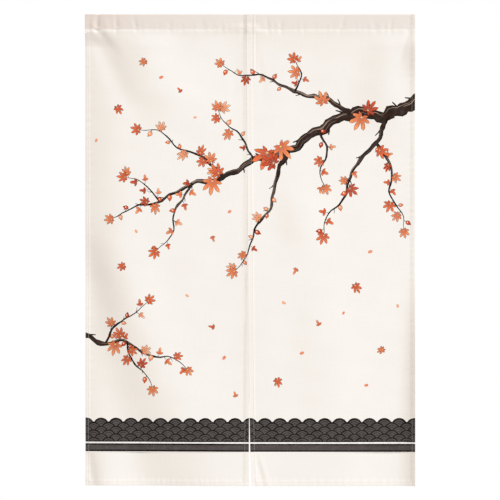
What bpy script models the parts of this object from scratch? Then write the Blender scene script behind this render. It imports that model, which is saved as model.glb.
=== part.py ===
# Noren curtain: two hemmed cloth panels that lap and are joined at the top centre, each with an open
# rod pocket along its top edge. Metres, +Z up. Someone facing the curtain stands on its -Y side and
# has +X on their right. The origin is the middle of the top edge.

import math
from collections import namedtuple

import bmesh
import bpy

MM = 0.001

# Whole curtain
HALF_WIDTH = 420 * MM
DROP = 1200 * MM
CLOTH = 1.2 * MM
HEM_CLOTH = 2.0 * MM
GAP = 0.3 * MM

# Hems, measured across their fold
OUTER_HEM = 9 * MM
INNER_HEM = 12 * MM
FOOT_HEM = 11 * MM
HEM_STEP = 1 * MM

# Centre lap: where each panel's inner edge hangs, at the join and at the foot
JOIN_END_Z = -145 * MM
LEFT_EDGE_AT_JOIN = 8 * MM
LEFT_EDGE_AT_FOOT = -3 * MM
LEFT_EDGE_SETTLED_Z = -1150 * MM
RIGHT_EDGE_AT_JOIN = -9 * MM
RIGHT_EDGE_DRIFT = 9 * MM
RIGHT_CORNER_FLARE = 4 * MM
LAP_PUSH = HEM_CLOTH + GAP + 0.1 * MM
LAP_PUSH_FROM = -150 * MM
LAP_PUSH_TO = -12 * MM

# Rod pocket, seen from its end: a band round three circles, each given as y, z and radius. Its front
# hangs flat from the tight top fold, and its back stands off to leave room for the rod.
POCKET_DROP = 39 * MM
POCKET_TOP = (0.0, -3.0 * MM, 3.0 * MM)
POCKET_BACK = (5.8 * MM, -17.0 * MM, 8.0 * MM)
POCKET_FOOT_RADIUS = 1.5 * MM
POCKET_ARC_STEPS = 8

# At the lap the left pocket is drawn in and its foot raised, and the right one's foot spreads round it
TUCK = CLOTH + GAP + 0.2 * MM
TUCK_RAISE = 1.8 * MM
TUCK_START_X = -30 * MM
TUCK_END_X = -12 * MM
SPREAD = 1.8 * MM
SPREAD_END_X = 12 * MM
PLAIN_AGAIN_X = 30 * MM

# Mesh density of a panel
PANEL_COLUMNS = 24
PANEL_ROWS = 32

# Folds, in millimetres. A fold runs from its top point to its low point and bows sideways halfway.
# Spread is how far from that line it has faded to about a third. A positive depth lies back, to +Y,
# and a negative one stands forward.
Fold = namedtuple(
    "Fold",
    "name x_top z_top x_low z_low bow spread_top spread_low depth_top depth_mid depth_low",
)
FOLDS = (
    Fold("middle swell", 100, -200, 100, -1200, 0, 260, 260, 0, -5, -5),
    Fold("left side turn", -480, -45, -460, -1200, 0, 100, 72, 14, 12, 15),
    Fold("left shoulder trough", -393, -45, -278, -300, 0, 25, 46, 3.5, 2, 0),
    Fold("left shoulder crest", -272, -45, -165, -320, 0, 76, 80, -3, -4, 0),
    Fold("left middle trough", -428, -520, -388, -800, 0, 40, 50, 0, 4, 0),
    Fold("left long trough", -430, -520, -275, -1200, -18, 45, 104, 0, 7.5, 8),
    Fold("left long crest", -340, -480, -85, -1200, -35, 50, 130, 0, -3, -2.5),
    Fold("right middle trough", 56, -400, 62, -620, 0, 45, 50, 0, 1, 0),
    Fold("right middle crest", 131, -400, 136, -640, 0, 56, 64, 0, -2.6, 0),
    Fold("right shoulder crest", 366, -45, 338, -360, 0, 66, 72, -3, -5.5, 0),
    Fold("right upper edge turn", 446, -40, 440, -260, 0, 42, 34, -5, -5, 0),
    Fold("right lower trough", 82, -620, 118, -1200, 8, 60, 66, 0, 1, 1),
    Fold("right lower crest", 196, -560, 202, -1200, 0, 120, 120, 0, -2.5, -2),
    Fold("right lower edge turn", 446, -600, 444, -1200, 0, 30, 38, 0, -12, -11),
)
FOLDS_START_DROP = 45 * MM
HANG_BACK = 6 * MM
HANG_BACK_DROP = 45 * MM

CREAM = (0.86, 0.83, 0.77, 1.0)
CREAM_POCKET = (0.80, 0.77, 0.72, 1.0)


def ease(share):
    """Rise smoothly from 0 to 1 as share goes from 0 to 1."""
    share = min(1.0, max(0.0, share))
    return share * share * (3.0 - 2.0 * share)


def blend(start, end, share):
    return start + (end - start) * share


def fold_depth(fold, x, z):
    """How far one fold lays the cloth back at a place of the curtain, in metres."""
    share = (fold.z_top * MM - z) / ((fold.z_top - fold.z_low) * MM)
    share = min(1.0, max(0.0, share))
    bow = 4.0 * share * (1.0 - share) * fold.bow
    line_x = (blend(fold.x_top, fold.x_low, share) + bow) * MM
    spread = blend(fold.spread_top, fold.spread_low, share) * MM
    if share < 0.5:
        depth = blend(fold.depth_top, fold.depth_mid, ease(2.0 * share))
    else:
        depth = blend(fold.depth_mid, fold.depth_low, ease(2.0 * share - 1.0))
    return depth * MM * math.exp(-(((x - line_x) / spread) ** 2))


def hang_depth(x, z):
    """Y of the cloth's folds: none at the stitch line, full a little below it."""
    start = ease((-POCKET_DROP - z) / FOLDS_START_DROP)
    settled = HANG_BACK * (1.0 - math.exp(-max(0.0, -POCKET_DROP - z) / HANG_BACK_DROP))
    return settled + start * sum(fold_depth(fold, x, z) for fold in FOLDS)


def lap_push(x):
    """How far the left panel ducks back so that the right one can lap over it."""
    return LAP_PUSH * ease((x - LAP_PUSH_FROM) / (LAP_PUSH_TO - LAP_PUSH_FROM))


def left_inner_edge(z):
    share = ease((JOIN_END_Z - z) / (JOIN_END_Z - LEFT_EDGE_SETTLED_Z))
    return blend(LEFT_EDGE_AT_JOIN, LEFT_EDGE_AT_FOOT, share)


def right_inner_edge(z):
    share = max(0.0, (JOIN_END_Z - z) / (JOIN_END_Z + DROP))
    return RIGHT_EDGE_AT_JOIN + RIGHT_EDGE_DRIFT * share + RIGHT_CORNER_FLARE * share**12


def stations(length, first_hem, last_hem, count):
    """Distances along a panel: its ends, both sides of each hem's step, and even steps between."""
    start = first_hem + HEM_STEP if first_hem else 0.0
    end = length - last_hem - HEM_STEP
    middle = [blend(start, end, step / count) for step in range(count + 1)]
    first = [0.0, first_hem] if first_hem else []
    return first + middle + [length - last_hem, length]


def cloth_point(x, z, depth, thickness):
    """A point on the cloth's front face, and the one behind it, square to the folds."""
    reach = 2 * MM
    slope = (depth(x + reach, z) - depth(x - reach, z)) / (2.0 * reach)
    y = depth(x, z) - CLOTH
    scale = thickness / math.hypot(1.0, slope)
    return (x, y, z), (x - slope * scale, y + scale, z)


def new_part(name, points, faces, colour):
    """An object from points and faces, with its own cloth material."""
    model = bmesh.new()
    corners = [model.verts.new(point) for point in points]
    for face in faces:
        model.faces.new([corners[index] for index in face])
    bmesh.ops.recalc_face_normals(model, faces=model.faces)
    mesh = bpy.data.meshes.new(name)
    model.to_mesh(mesh)
    model.free()
    mesh.shade_smooth()
    mesh.set_sharp_from_angle(angle=math.radians(40))
    material = bpy.data.materials.new(name + "_cloth")
    material.use_nodes = True
    shader = material.node_tree.nodes["Principled BSDF"]
    shader.inputs["Base Color"].default_value = colour
    shader.inputs["Roughness"].default_value = 0.85
    shader.inputs["Metallic"].default_value = 0.0
    mesh.materials.append(material)
    part = bpy.data.objects.new(name, mesh)
    bpy.context.collection.objects.link(part)
    return part


def panel(name, outer_x, inner_edge, depth):
    """A hanging panel: a front face on the folds, a back face with its hems, and a rim round both."""
    top_z = -POCKET_DROP - GAP
    width = abs(inner_edge(top_z) - outer_x)
    length = DROP + top_z
    across = stations(width, OUTER_HEM, INNER_HEM, PANEL_COLUMNS)
    down = stations(length, 0.0, FOOT_HEM, PANEL_ROWS)
    front, back = [], []
    for fallen in down:
        z = top_z - fallen
        for distance in across:
            in_hem = distance <= OUTER_HEM or distance >= width - INNER_HEM or fallen >= length - FOOT_HEM
            x = blend(outer_x, inner_edge(z), distance / width)
            ahead, behind = cloth_point(x, z, depth, HEM_CLOTH if in_hem else CLOTH)
            front.append(ahead)
            back.append(behind)
    columns, rows = len(across), len(down)
    behind_from = len(front)
    faces = []
    for row in range(rows - 1):
        for column in range(columns - 1):
            near = row * columns + column
            quad = (near, near + 1, near + columns + 1, near + columns)
            faces.append(quad)
            faces.append(tuple(behind_from + index for index in reversed(quad)))
    rim = list(range(columns))
    rim += [row * columns + columns - 1 for row in range(1, rows)]
    rim += [(rows - 1) * columns + column for column in range(columns - 2, -1, -1)]
    rim += [row * columns for row in range(rows - 2, 0, -1)]
    for here, following in zip(rim, rim[1:] + rim[:1]):
        faces.append((here, following, behind_from + following, behind_from + here))
    return new_part(name, front + back, faces, CREAM)


def belt(circles):
    """Points (y, z) of a band pulled tight round circles given as (y, z, radius), foot first."""
    squares = []
    for here, ahead in zip(circles, circles[1:] + circles[:1]):
        heading = math.atan2(ahead[0] - here[0], ahead[1] - here[1])
        reach = math.hypot(ahead[0] - here[0], ahead[1] - here[1])
        squares.append(heading - math.acos((here[2] - ahead[2]) / reach))
    points = []
    for (y, z, radius), start, end in zip(circles, squares[-1:] + squares[:-1], squares):
        turn = (end - start) % (2.0 * math.pi)
        for step in range(POCKET_ARC_STEPS + 1):
            angle = start + turn * step / POCKET_ARC_STEPS
            points.append((y + radius * math.sin(angle), z + radius * math.cos(angle)))
    return points


def pocket_section(tuck=0.0, foot_raise=0.0, spread=0.0):
    """Outer and inner outlines of a pocket.

    Tuck draws it in and foot_raise lifts its foot where it lies inside the other pocket. Spread widens
    its foot where it goes round the other one.
    """
    foot_radius = POCKET_FOOT_RADIUS + spread
    circles = [
        (0.0, -POCKET_DROP + foot_raise + foot_radius, foot_radius),
        (POCKET_TOP[0], POCKET_TOP[1], POCKET_TOP[2] - tuck),
        (POCKET_BACK[0], POCKET_BACK[1], POCKET_BACK[2] - tuck),
    ]
    inside = [(y, z, radius - CLOTH) for y, z, radius in circles]
    return belt(circles), belt(inside)


def pocket(name, sections):
    """An open sleeve through sections given as (x, (outer, inner)), with a ring at each end."""
    size = len(sections[0][1][0])
    points, faces = [], []
    for x, (outer, inner) in sections:
        points += [(x, y, z) for y, z in outer]
        points += [(x, y, z) for y, z in inner]
    for index in range(size):
        following = (index + 1) % size
        for station in range(len(sections) - 1):
            here = station * 2 * size
            ahead = here + 2 * size
            faces.append((here + index, here + following, ahead + following, ahead + index))
            inside, beyond = here + size, ahead + size
            faces.append((inside + following, inside + index, beyond + index, beyond + following))
        for ring in (0, (len(sections) - 1) * 2 * size):
            faces.append((ring + index, ring + following, ring + size + following, ring + size + index))
    return new_part(name, points, faces, CREAM_POCKET)


def build():
    for thing in list(bpy.data.objects):
        bpy.data.objects.remove(thing, do_unlink=True)
    panel("left_panel", -HALF_WIDTH, left_inner_edge, lambda x, z: hang_depth(x, z) + lap_push(x))
    panel("right_panel", HALF_WIDTH, right_inner_edge, hang_depth)
    plain = pocket_section()
    tucked = pocket_section(tuck=TUCK, foot_raise=TUCK_RAISE)
    spread = pocket_section(spread=SPREAD)
    pocket(
        "left_rod_pocket",
        (
            (-HALF_WIDTH, plain),
            (TUCK_START_X, plain),
            (TUCK_END_X, tucked),
            (LEFT_EDGE_AT_JOIN, tucked),
        ),
    )
    pocket(
        "right_rod_pocket",
        (
            (RIGHT_EDGE_AT_JOIN, spread),
            (SPREAD_END_X, spread),
            (PLAIN_AGAIN_X, plain),
            (HALF_WIDTH, plain),
        ),
    )


build()
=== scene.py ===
# Noren curtain dressed on its solids: printed cloth with hems and a rod pocket, and the threads that
# sew it. Lengths are in millimetres until a mesh is made: x to the right, y to the back, z up, from
# the middle of the top edge. "Along" is measured up the cloth itself, and is z below the stitch line.

import math
import random
from collections import namedtuple

import bpy
import numpy as np
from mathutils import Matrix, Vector
from mathutils.geometry import delaunay_2d_cdt


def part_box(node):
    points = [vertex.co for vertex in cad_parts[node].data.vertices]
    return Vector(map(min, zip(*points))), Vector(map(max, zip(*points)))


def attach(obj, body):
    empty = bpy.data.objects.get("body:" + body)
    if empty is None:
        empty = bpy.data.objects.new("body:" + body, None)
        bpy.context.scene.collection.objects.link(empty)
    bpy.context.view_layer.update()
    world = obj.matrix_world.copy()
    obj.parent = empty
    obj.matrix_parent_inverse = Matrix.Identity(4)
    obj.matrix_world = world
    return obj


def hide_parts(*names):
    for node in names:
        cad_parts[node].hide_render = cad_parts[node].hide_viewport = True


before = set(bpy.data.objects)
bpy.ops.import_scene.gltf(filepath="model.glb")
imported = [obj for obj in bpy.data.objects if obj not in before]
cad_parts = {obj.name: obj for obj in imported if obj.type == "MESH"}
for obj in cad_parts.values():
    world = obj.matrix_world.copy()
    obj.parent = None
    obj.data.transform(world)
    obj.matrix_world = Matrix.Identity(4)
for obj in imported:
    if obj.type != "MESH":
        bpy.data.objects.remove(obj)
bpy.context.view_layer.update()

MM = 0.001
POCKET_LOW, POCKET_HIGH = (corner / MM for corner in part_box("right_rod_pocket"))
PANEL_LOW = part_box("right_panel")[0] / MM

# Whole curtain, from the frame
HALF_WIDTH = POCKET_HIGH.x
DROP = -PANEL_LOW.z
POCKET_DROP = -POCKET_LOW.z

# Cloth and hems. A corner is where two hems lie over each other.
CLOTH = 0.4
HEM_EXTRA = 0.3
CORNER_SHARE = 0.5
TURN_IN_EXTRA = 0.3
TURN_IN_THINS = 0.6
OUTER_HEM = 9.0
INNER_HEM = 12.0
FOOT_HEM = 11.0
TURN_IN = 7.0
HEM_FOLD = 0.8
STITCH_INSET = 1.5
STITCH_GROOVE = 0.25
GROOVE_SPREAD = 1.3
HEM_SWELL = 0.22
WAVE_SPREAD = 11.0
OUTER_WAVE = 0.16
INNER_WAVE = 0.06
FOOT_WAVE = 0.14

# Hang below the pocket: the front's stand from the middle, and the way back that it sinks
FRONT_STAND = 1.2
SETTLE = 16.0
HANG_BACK = 6.0
HANG_BACK_DROP = 45.0

# Centre lap, where the right panel lies over the left one
JOIN_END = -145.0
JOIN_X = 4.2
JOIN_FADE = 12.0
JOIN_GROOVE = 0.3
JOIN_GROOVE_SPREAD = 1.5
LEFT_EDGE_AT_JOIN = 8.0
LEFT_EDGE_AT_FOOT = -3.0
LEFT_EDGE_SETTLED = -1150.0
RIGHT_EDGE_AT_JOIN = -9.0
RIGHT_EDGE_DRIFT = 9.0
RIGHT_CORNER_FLARE = 4.0
LAP_PUSH = 0.8
LAP_PUSH_FOOT = 0.25
LAP_PUSH_FROM = -150.0
LAP_PUSH_TO = -12.0
LAP_THINS_FROM = -600.0
LAP_THINS_TO = -850.0
LAP_EDGE_TAPER = 3.0
LAP_EDGE_TAPER_FOOT = 10.0
LAP_EDGE_SHARE = 0.12
LAP_STEP = 0.16
RIGHT_LAP_SWELL = 0.25
RIGHT_LAP_SPREAD = 3.5
LEFT_LAP_SPREAD_TOP = 6.5
LEFT_LAP_SPREAD_FOOT = 11.0
LEFT_LAP_SPREAD_UNDER = 2.0
LAP_LINES = (-9.0, -6.0, -3.6, -1.8, -0.6, 0.2, 1.0, 2.0, 3.4)

# Rise and hollow that the left panel's edge makes in the right one over it
EdgeShape = namedtuple("EdgeShape", "height past spread")
UNDER_EDGE = (EdgeShape(0.5, 1.0, 2.4), EdgeShape(-0.2, 6.0, 3.0))

# Rod pocket, seen from its end, the same as the solids: a band over two circles, each given as y, z
# and radius, that is sewn shut at its foot. At the lap the left one is tucked inside the right one.
POCKET_TOP = (0.0, -3.0, 3.0)
POCKET_BACK = (5.8, -17.0, 8.0)
POCKET_ARC_STEPS = 24
FOOT_HALF = 0.75
TUCK = CLOTH + HEM_EXTRA + 0.15
TUCKED_FOOT_PUSH = 0.6
TUCK_START = -90.0
TUCK_END = -12.0
SPREAD_FOOT_PUSH = 1.5
SPREAD_END = 12.0
PLAIN_AGAIN = 30.0
FOOT_PUSH_FADE = 14.0
TAIL = 4.2
SEAM_DROP = POCKET_DROP - TAIL

# Folds, the same as the solids have. A fold runs from its top point to its low point and bows
# sideways halfway. Spread is how far from that line it has faded to about a third. A positive depth
# lies back and a negative one stands forward.
Fold = namedtuple(
    "Fold",
    "name x_top z_top x_low z_low bow spread_top spread_low depth_top depth_mid depth_low",
)
FOLDS = (
    Fold("middle swell", 100, -200, 100, -1200, 0, 260, 260, 0, -5, -5),
    Fold("left side turn", -480, -45, -460, -1200, 0, 100, 72, 14, 12, 15),
    Fold("left shoulder trough", -393, -45, -278, -300, 0, 25, 46, 3.5, 2, 0),
    Fold("left shoulder crest", -272, -45, -165, -320, 0, 76, 80, -3, -4, 0),
    Fold("left middle trough", -428, -520, -388, -800, 0, 40, 50, 0, 4, 0),
    Fold("left long trough", -430, -520, -275, -1200, -18, 45, 104, 0, 7.5, 8),
    Fold("left long crest", -340, -480, -85, -1200, -35, 50, 130, 0, -3, -2.5),
    Fold("right middle trough", 56, -400, 62, -620, 0, 45, 50, 0, 1, 0),
    Fold("right middle crest", 131, -400, 136, -640, 0, 56, 64, 0, -2.6, 0),
    Fold("right shoulder crest", 366, -45, 338, -360, 0, 66, 72, -3, -5.5, 0),
    Fold("right upper edge turn", 446, -40, 440, -260, 0, 42, 34, -5, -5, 0),
    Fold("right lower trough", 82, -620, 118, -1200, 8, 60, 66, 0, 1, 1),
    Fold("right lower crest", 196, -560, 202, -1200, 0, 120, 120, 0, -2.5, -2),
    Fold("right lower edge turn", 446, -600, 444, -1200, 0, 30, 38, 0, -12, -11),
)
FOLDS_START_DROP = 45.0

# Main creases, softer and narrower than the folds. They start a little below the stitch line.
CREASE_START = 8.0
CREASES = (
    Fold("left shoulder crease", -388, -40, -322, -130, 3, 11, 18, 1.3, 0.6, 0),
    Fold("left foot crease", -436, -1040, -399, -1205, 3, 12, 16, 0, 1.5, 1.8),
    Fold("right foot crease", 6, -1105, 36, -1215, 3, 5, 7, 0, 0.5, 0.6),
    Fold("right foot crease lip", 17, -1105, 48, -1215, 3, 5, 7, 0, -0.4, -0.4),
    Fold("left centre pull", -30, -60, -52, -330, 0, 9, 16, 0, 0.3, 0),
    Fold("right centre pull", 14, -60, 44, -260, 0, 6, 12, 0, 0.3, 0),
    Fold("right corner crease", 404, -44, 372, -150, 0, 7, 11, 0.7, 0.4, 0),
    Fold("right corner turn", 428, -40, 432, -170, 0, 30, 30, -1.2, -4.0, 0),
)

# Puckers that the stitch line draws into the pocket and the cloth below it
Pucker = namedtuple("Pucker", "x lean spread depth up down")
PUCKERS = (
    Pucker(-402, 0.06, 6.0, -0.7, 30, 10),
    Pucker(-389, 0.06, 5.6, 1.8, 34, 9),
    Pucker(-366, -0.10, 7.2, -0.6, 26, 12),
    Pucker(-341, 0.05, 4.8, 1.4, 30, 14),
    Pucker(-290, -0.18, 5.6, 1.0, 26, 9),
    Pucker(-206, 0.08, 6.0, 0.5, 18, 12),
    Pucker(-120, -0.06, 6.0, 0.5, 20, 12),
    Pucker(-17, 0.04, 5.4, 0.7, 32, 24),
    Pucker(46, -0.10, 5.4, 0.7, 24, 14),
    Pucker(79, 0.06, 6.0, 0.6, 22, 14),
    Pucker(232, 0.30, 5.4, 0.9, 26, 14),
    Pucker(318, -0.08, 6.0, 0.4, 18, 12),
    Pucker(359, 0.10, 5.0, 0.6, 22, 14),
    Pucker(408, -0.05, 4.8, 0.6, 26, 16),
)
SMALL_PUCKER_GAP = 17.0
SMALL_PUCKER_GAPS = (0.7, 1.6)
SMALL_PUCKER_DEPTH = 0.28
SMALL_PUCKER_FADE = 11.0
SEAM_KEEPS = 0.35
SEAM_SPREAD = 3.0

# Faint unevenness of hanging cloth
Ripple = namedtuple("Ripple", "height length heading phase")
RIPPLES = (
    Ripple(0.16, 158, 12, 40),
    Ripple(0.12, 113, 155, 200),
    Ripple(0.07, 67, 78, 310),
    Ripple(0.05, 51, 108, 95),
)

# How close the points of the cloth's mesh lie
COLUMN_STEP = 4.2
ROW_STEP = 8.0
FINE_ROW_STEP = 3.2
FINE_ROWS_DROP = 34.0
RIM_LOOP = 0.5
STITCH_CLEAR = 1.6
OUTER_HEM_STEP = 2.6
INNER_HEM_STEP = 1.8
FOOT_HEM_STEP = 3.0
TOP_ARC_STEP = 0.8
BACK_ARC_STEP = 2.4
TAIL_STEP = 1.6


def ease(share):
    """Rise smoothly from 0 to 1 as share goes from 0 to 1."""
    share = np.clip(share, 0.0, 1.0)
    return share * share * (3.0 - 2.0 * share)


def blend(start, end, share):
    return start + (end - start) * share


def bell(distance, spread):
    return np.exp(-((distance / spread) ** 2))


def left_inner_edge(along):
    share = ease((JOIN_END - along) / (JOIN_END - LEFT_EDGE_SETTLED))
    return blend(LEFT_EDGE_AT_JOIN, LEFT_EDGE_AT_FOOT, share)


def right_inner_edge(along):
    share = np.maximum(0.0, (JOIN_END - along) / (JOIN_END + DROP))
    return RIGHT_EDGE_AT_JOIN + RIGHT_EDGE_DRIFT * share + RIGHT_CORNER_FLARE * share**12


Panel = namedtuple("Panel", "name side outer_x inner_edge")
LEFT = Panel("left", -1, -HALF_WIDTH, left_inner_edge)
RIGHT = Panel("right", 1, HALF_WIDTH, right_inner_edge)


def fold_depth(fold, x, z):
    share = np.clip((fold.z_top - z) / (fold.z_top - fold.z_low), 0.0, 1.0)
    line_x = blend(fold.x_top, fold.x_low, share) + 4.0 * share * (1.0 - share) * fold.bow
    spread = blend(fold.spread_top, fold.spread_low, share)
    upper = blend(fold.depth_top, fold.depth_mid, ease(2.0 * share))
    lower = blend(fold.depth_mid, fold.depth_low, ease(2.0 * share - 1.0))
    return np.where(share < 0.5, upper, lower) * bell(x - line_x, spread)


def lap_push(z):
    """How far behind the right panel the left one lies at the lap."""
    return blend(LAP_PUSH, LAP_PUSH_FOOT, ease((LAP_THINS_FROM - z) / (LAP_THINS_FROM - LAP_THINS_TO)))


def hang_depth(panel, x, z):
    """Y of the folds, and of the left panel's duck behind the right one."""
    start = ease((-POCKET_DROP - z) / FOLDS_START_DROP)
    depth = start * sum(fold_depth(fold, x, z) for fold in FOLDS)
    below = np.maximum(0.0, -POCKET_DROP - z)
    depth = depth + HANG_BACK * (1.0 - np.exp(-below / HANG_BACK_DROP))
    if panel is LEFT:
        depth = depth + lap_push(z) * ease((x - LAP_PUSH_FROM) / (LAP_PUSH_TO - LAP_PUSH_FROM))
    return depth


def pocket_band():
    """Runs along the cloth, y, z and outward angles, from the pocket's front foot to its back foot."""
    circles = ((-FOOT_HALF, -SEAM_DROP, 0.0), POCKET_TOP, POCKET_BACK, (FOOT_HALF, -SEAM_DROP, 0.0))
    squares = []
    for here, ahead in zip(circles, circles[1:]):
        heading = math.atan2(ahead[0] - here[0], ahead[1] - here[1])
        reach = math.hypot(ahead[0] - here[0], ahead[1] - here[1])
        square = heading - math.acos((here[2] - ahead[2]) / reach)
        squares.append(square % (2.0 * math.pi) if squares else square)
    places, angles = [circles[0][:2]], [squares[0]]
    for (y, z, radius), start, end in zip(circles[1:-1], squares, squares[1:]):
        for angle in np.linspace(start, end, POCKET_ARC_STEPS + 1):
            places.append((y + radius * math.sin(angle), z + radius * math.cos(angle)))
            angles.append(angle)
    places = np.array(places + [circles[-1][:2]])
    angles = np.array(angles + [squares[-1]])
    steps = np.linalg.norm(np.diff(places, axis=0), axis=1)
    return np.concatenate(([0.0], np.cumsum(steps))), places[:, 0], places[:, 1], angles


BAND_RUNS, BAND_Y, BAND_Z, BAND_ANGLES = pocket_band()
GIRTH = BAND_RUNS[-1]
TOP_FOLD = BAND_RUNS[1 + POCKET_ARC_STEPS // 2]
BACK_FOOT = GIRTH - SEAM_DROP
TOP = BACK_FOOT + TAIL


def pocket_push(panel, x):
    """How far the lap pushes the pocket's walls out, on the whole and at their feet."""
    if panel is LEFT:
        tucked = ease((x - TUCK_START) / (TUCK_END - TUCK_START))
        return -TUCK * tucked, TUCKED_FOOT_PUSH * tucked
    spread = 1.0 - ease((x - SPREAD_END) / (PLAIN_AGAIN - SPREAD_END))
    return 0.0 * x, SPREAD_FOOT_PUSH * spread


def pocket_place(panel, x, rise):
    """Y, z and outward direction of the pocket, for a rise along the cloth from its front foot."""
    y = np.interp(rise, BAND_RUNS, BAND_Y)
    z = np.interp(rise, BAND_RUNS, BAND_Z) - np.maximum(rise - GIRTH, 0.0)
    angle = np.interp(rise, BAND_RUNS, BAND_ANGLES)
    out_y, out_z = np.sin(angle), np.cos(angle)
    body, foot = pocket_push(panel, x)
    above = ease((z + SEAM_DROP) / FOOT_PUSH_FADE)
    y = y + blend(foot * np.sign(out_y), body * out_y, above)
    return y, z + body * out_z * above, out_y, out_z


def edge_distances(panel, x, along):
    """Distances in from the outer edge, the inner edge and the foot."""
    outer = np.abs(x - panel.outer_x)
    inner = np.abs(panel.inner_edge(along) - x)
    return outer, inner, along + DROP


def hem_masks(panel, x, along):
    """1 on the side hems, the foot hem and the pocket's turned-in edge, and 0 off them."""
    outer, inner, foot = edge_distances(panel, x, along)
    on_outer = 1.0 - ease((outer - OUTER_HEM) / HEM_FOLD)
    on_inner = 1.0 - ease((inner - INNER_HEM) / HEM_FOLD)
    on_foot = 1.0 - ease((foot - FOOT_HEM) / HEM_FOLD)
    on_turn_in = ease((along - BACK_FOOT + TURN_IN) / HEM_FOLD)
    return np.maximum(on_outer, on_inner), on_foot, on_turn_in


def hem_grooves(panel, x, along):
    """1 on the hems' stitch lines."""
    hems = zip(edge_distances(panel, x, along), (OUTER_HEM, INNER_HEM, FOOT_HEM))
    return np.minimum(1.0, sum(bell(away - hem + STITCH_INSET, GROOVE_SPREAD) for away, hem in hems))


def thickness(panel, x, along):
    """How thick the cloth is, with its hems and the thinned edge of the lap."""
    sides, foot, turn_in = hem_masks(panel, x, along)
    hems = np.maximum(sides, foot) + CORNER_SHARE * np.minimum(sides, foot)
    thick = CLOTH + HEM_EXTRA * hems + TURN_IN_EXTRA * turn_in * (1.0 - TURN_IN_THINS * sides)
    thick = thick - STITCH_GROOVE * hem_grooves(panel, x, along)
    if panel is RIGHT:
        _, inner, _ = edge_distances(panel, x, along)
        thins = ease((LAP_THINS_FROM - along) / (LAP_THINS_FROM - LAP_THINS_TO))
        taper = blend(LAP_EDGE_TAPER, LAP_EDGE_TAPER_FOOT, thins)
        thick = thick * blend(LAP_EDGE_SHARE, 1.0, ease(inner / taper))
    return thick


def small_puckers(seed, place):
    """Uneven little waves along a line of stitches, from -1 to 1."""
    dice = random.Random(seed)
    gap = SMALL_PUCKER_GAP
    waves = [(dice.uniform(*SMALL_PUCKER_GAPS) * gap, dice.uniform(0, 2 * math.pi)) for _ in range(4)]
    return sum(np.sin(2 * math.pi * place / length + phase) for length, phase in waves) / 3.0


def pucker_relief(x, rise):
    """Puckers above and below the pocket's stitch line, on the front."""
    total = 0.0
    for pucker in PUCKERS:
        line_x = pucker.x + pucker.lean * rise
        fade = np.where(rise > 0, bell(rise, pucker.up), bell(rise, pucker.down))
        total = total - pucker.depth * fade * bell(x - line_x, pucker.spread)
    ripple = SMALL_PUCKER_DEPTH * small_puckers(11, x) * bell(rise, SMALL_PUCKER_FADE)
    return (total + ripple) * blend(SEAM_KEEPS, 1.0, 1.0 - bell(rise, SEAM_SPREAD))


def stitch_relief(panel, x, along):
    """Grooves that the stitches draw, and the swell and waves of the hems beside them."""
    outer, inner, foot = edge_distances(panel, x, along)
    sides, foot_hem, _ = hem_masks(panel, x, along)
    height = HEM_SWELL * np.maximum(sides, foot_hem) - STITCH_GROOVE * hem_grooves(panel, x, along)
    waves = (
        (OUTER_WAVE, 23 + panel.side, along, outer - OUTER_HEM),
        (INNER_WAVE, 31, along, inner - INNER_HEM),
        (FOOT_WAVE, 41 + panel.side, x, foot - FOOT_HEM),
    )
    for wave, seed, place, beside in waves:
        height = height + wave * small_puckers(seed, place) * bell(beside, WAVE_SPREAD)
    return height


def join_relief(x, along):
    """The groove of the join and the edge of the left panel under the right one."""
    joined = ease((along - JOIN_END + JOIN_FADE / 2) / JOIN_FADE)
    past = x - LEFT_EDGE_AT_JOIN
    edge = sum(shape.height * bell(past - shape.past, shape.spread) for shape in UNDER_EDGE)
    return joined * (edge - JOIN_GROOVE * bell(x - JOIN_X, JOIN_GROOVE_SPREAD))


def lap_swell(panel, x, along):
    """Both panels rise where one's hem lies over the other's, and the left one meets its edge."""
    beside = x - right_inner_edge(along)
    if panel is RIGHT:
        return RIGHT_LAP_SWELL * bell(beside, RIGHT_LAP_SPREAD)
    shown = blend(LEFT_LAP_SPREAD_TOP, LEFT_LAP_SPREAD_FOOT, ease(-along / DROP))
    height = lap_push(along) + RIGHT_LAP_SWELL - LAP_STEP
    return height * bell(beside, np.where(beside < 0.0, shown, LEFT_LAP_SPREAD_UNDER))


def relief(panel, x, along):
    """Everything finer than the folds, measured out from the cloth's face."""
    rise = along + SEAM_DROP
    hanging = ease(-rise / CREASE_START)
    height = stitch_relief(panel, x, along) + pucker_relief(x, rise) + lap_swell(panel, x, along)
    height = height - sum(fold_depth(crease, x, along) for crease in CREASES) * hanging
    for ripple in RIPPLES:
        heading = math.radians(ripple.heading)
        distance = x * math.cos(heading) + along * math.sin(heading)
        wave = np.sin(2 * math.pi * distance / ripple.length + math.radians(ripple.phase))
        height = height + ripple.height * wave * hanging
    if panel is RIGHT:
        height = height + join_relief(x, along)
    return height


def surface(panel, x, along):
    """Points on the outer face of a panel's cloth, which is its front below the pocket."""
    rise = along + SEAM_DROP
    y, z, out_y, out_z = pocket_place(panel, x, np.maximum(rise, 0.0))
    foot_y = -FOOT_HALF - pocket_push(panel, x)[1]
    hung_y = blend(foot_y, hang_depth(panel, x, along) - FRONT_STAND, ease(-rise / SETTLE))
    hanging = rise < 0.0
    y = np.where(hanging, hung_y, y)
    z = np.where(hanging, along, z)
    out_y = np.where(hanging, -1.0, out_y)
    out_z = np.where(hanging, 0.0, out_z)
    height = relief(panel, x, along)
    return np.stack((x, y + out_y * height, z + out_z * height), axis=-1)


def outward(panel, x, along):
    """Unit directions out of the cloth's outer face."""
    reach = 0.5
    across = surface(panel, x + reach, along) - surface(panel, x - reach, along)
    up = surface(panel, x, along + reach) - surface(panel, x, along - reach)
    normal = np.cross(across, up)
    return normal / np.linalg.norm(normal, axis=-1, keepdims=True)


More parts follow.
